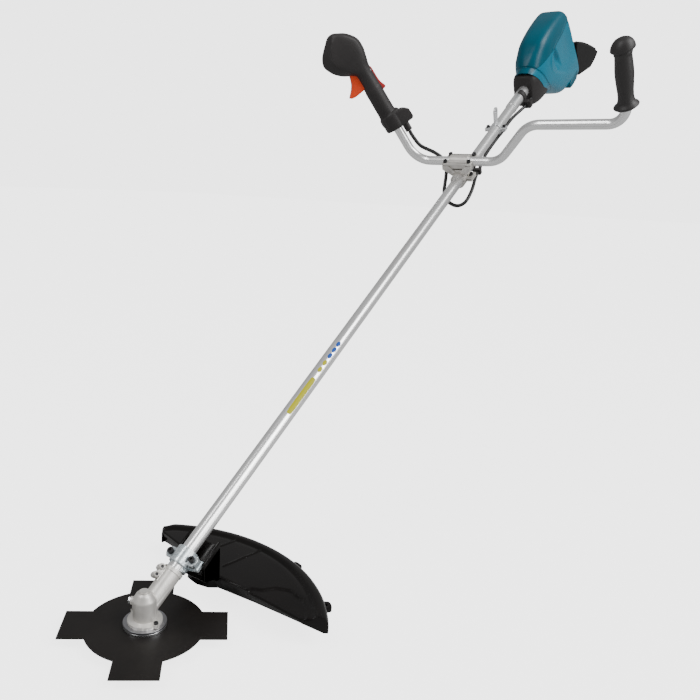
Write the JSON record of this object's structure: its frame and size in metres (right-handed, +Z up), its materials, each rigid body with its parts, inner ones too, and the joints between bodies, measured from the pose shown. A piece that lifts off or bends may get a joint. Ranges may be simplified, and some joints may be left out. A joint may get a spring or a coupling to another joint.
{
  "type": "brush cutter",
  "caption": "Battery brush cutter: long straight tube with a motor head, U handle with throttle grip, harness eye, angled gear case, toothed steel blade and fan-shaped guard.",
  "frame": {"origin": "middle of the harness eye, the ring the machine hangs from", "axes": "+X along the machine from the cutter towards the motor head, +Y to the operator's right, +Z up; the blade lies level and the tube rises towards +X"},
  "size_m": [1.8983, 0.6336, 1.0822],
  "materials": {
    "blade_black": "satin black coating",
    "machined_steel": "machined, zinc plated",
    "pressed_steel": "pressed, scuffed",
    "gear_steel": "cut and hardened",
    "bearing_steel": "ground",
    "galvanised": "zinc plated",
    "cast_alloy": "die cast, satin",
    "tube_alloy": "drawn, clear anodised",
    "hanger_metal": "bright zinc",
    "black_screw": "black oxide",
    "guard_black": "moulded, glossy",
    "charcoal": "moulded, fine grain",
    "grip_rubber": "soft, matt",
    "cable_black": "smooth sheath",
    "trigger_orange": "moulded",
    "lever_red": "moulded",
    "teal_side": "moulded, satin gloss",
    "teal_hood": "moulded, satin gloss",
    "bushing_plastic": "self-lubricating",
    "copper_winding": "enamelled copper wire",
    "board_green": "lacquered circuit board",
    "terminal_yellow": "moulded with metal blades"
  },
  "bodies": {
    "frame": {"lower_bearing": "bearing_steel", "upper_bearing": "bearing_steel", "oil_seal": "grip_rubber", "gear_case": "cast_alloy", "dust_guard": "pressed_steel", "case_cap": "cast_alloy", "grease_plug": "machined_steel", "case_screws": "black_screw", "pinion_bearings": "bearing_steel", "shaft_bushings": "bushing_plastic", "main_tube": "tube_alloy", "bracket_upper": "galvanised", "bracket_lower": "galvanised", "bracket_screws": "black_screw", "cutter_guard": "guard_black", "guard_screws": "black_screw", "handle_base": "cast_alloy", "handle_cap": "cast_alloy", "handle_screws": "black_screw", "handlebar": "tube_alloy", "left_grip": "grip_rubber", "throttle_shell_inner": "charcoal", "throttle_shell_outer": "charcoal", "throttle_screws": "black_screw", "lever_pins": "machined_steel", "throttle_switch": "charcoal", "cable_gland": "charcoal", "control_cable": "cable_black", "cable_clip": "charcoal", "hanger_band": "hanger_metal", "hanger_eye": "hanger_metal", "hanger_screws": "black_screw", "tube_sleeve": "tube_alloy", "sleeve_clamp": "charcoal", "motor_housing": "charcoal", "housing_left": "teal_side", "housing_right": "teal_side", "top_cover": "teal_hood", "housing_screws": "black_screw", "stator": "copper_winding", "motor_bearings": "bearing_steel", "controller": "board_green", "terminal_block": "terminal_yellow", "battery_rails": "charcoal", "rear_guard": "guard_black"},
    "cutter": {"cutter_blade": "blade_black", "blade_holder": "machined_steel", "clamp_washer": "machined_steel", "skid_cup": "pressed_steel", "spindle_nut": "machined_steel", "spindle": "machined_steel", "driven_gear": "gear_steel"},
    "driveline": {"pinion_gear": "gear_steel", "drive_shaft": "gear_steel", "rotor": "gear_steel", "cooling_fan": "charcoal"},
    "trigger": {"throttle_trigger": "trigger_orange"},
    "lock": {"lock_lever": "lever_red"}
  },
  "joints": [
    {"name": "cutter_spin", "type": "hinge", "parent": "frame", "child": "cutter", "pos_m": [-1.12833, 0, -0.80733], "axis": [0, 0, 1], "continuous": true},
    {"name": "drive_spin", "type": "hinge", "parent": "frame", "child": "driveline", "pos_m": [-1.12833, 0, -0.78163], "axis": [0.8387, 0, 0.5446], "continuous": true},
    {"name": "trigger_pull", "type": "hinge", "parent": "frame", "child": "trigger", "pos_m": [-0.30046, 0.21732, 0.05143], "axis": [-0.7497, -0.646, -0.1439], "range_deg": [0, 12], "stiffness_Nm_per_rad": 0.8, "springref_deg": -17.19},
    {"name": "lock_press", "type": "hinge", "parent": "frame", "child": "lock", "pos_m": [-0.27517, 0.18681, 0.05664], "axis": [0.7497, 0.646, 0.1439], "range_deg": [0, 6], "stiffness_Nm_per_rad": 0.5, "springref_deg": -11.46}
  ],
  "couplings": [
    {"joint": "drive_spin", "follows": "cutter_spin", "ratio": -1.3571}
  ]
}
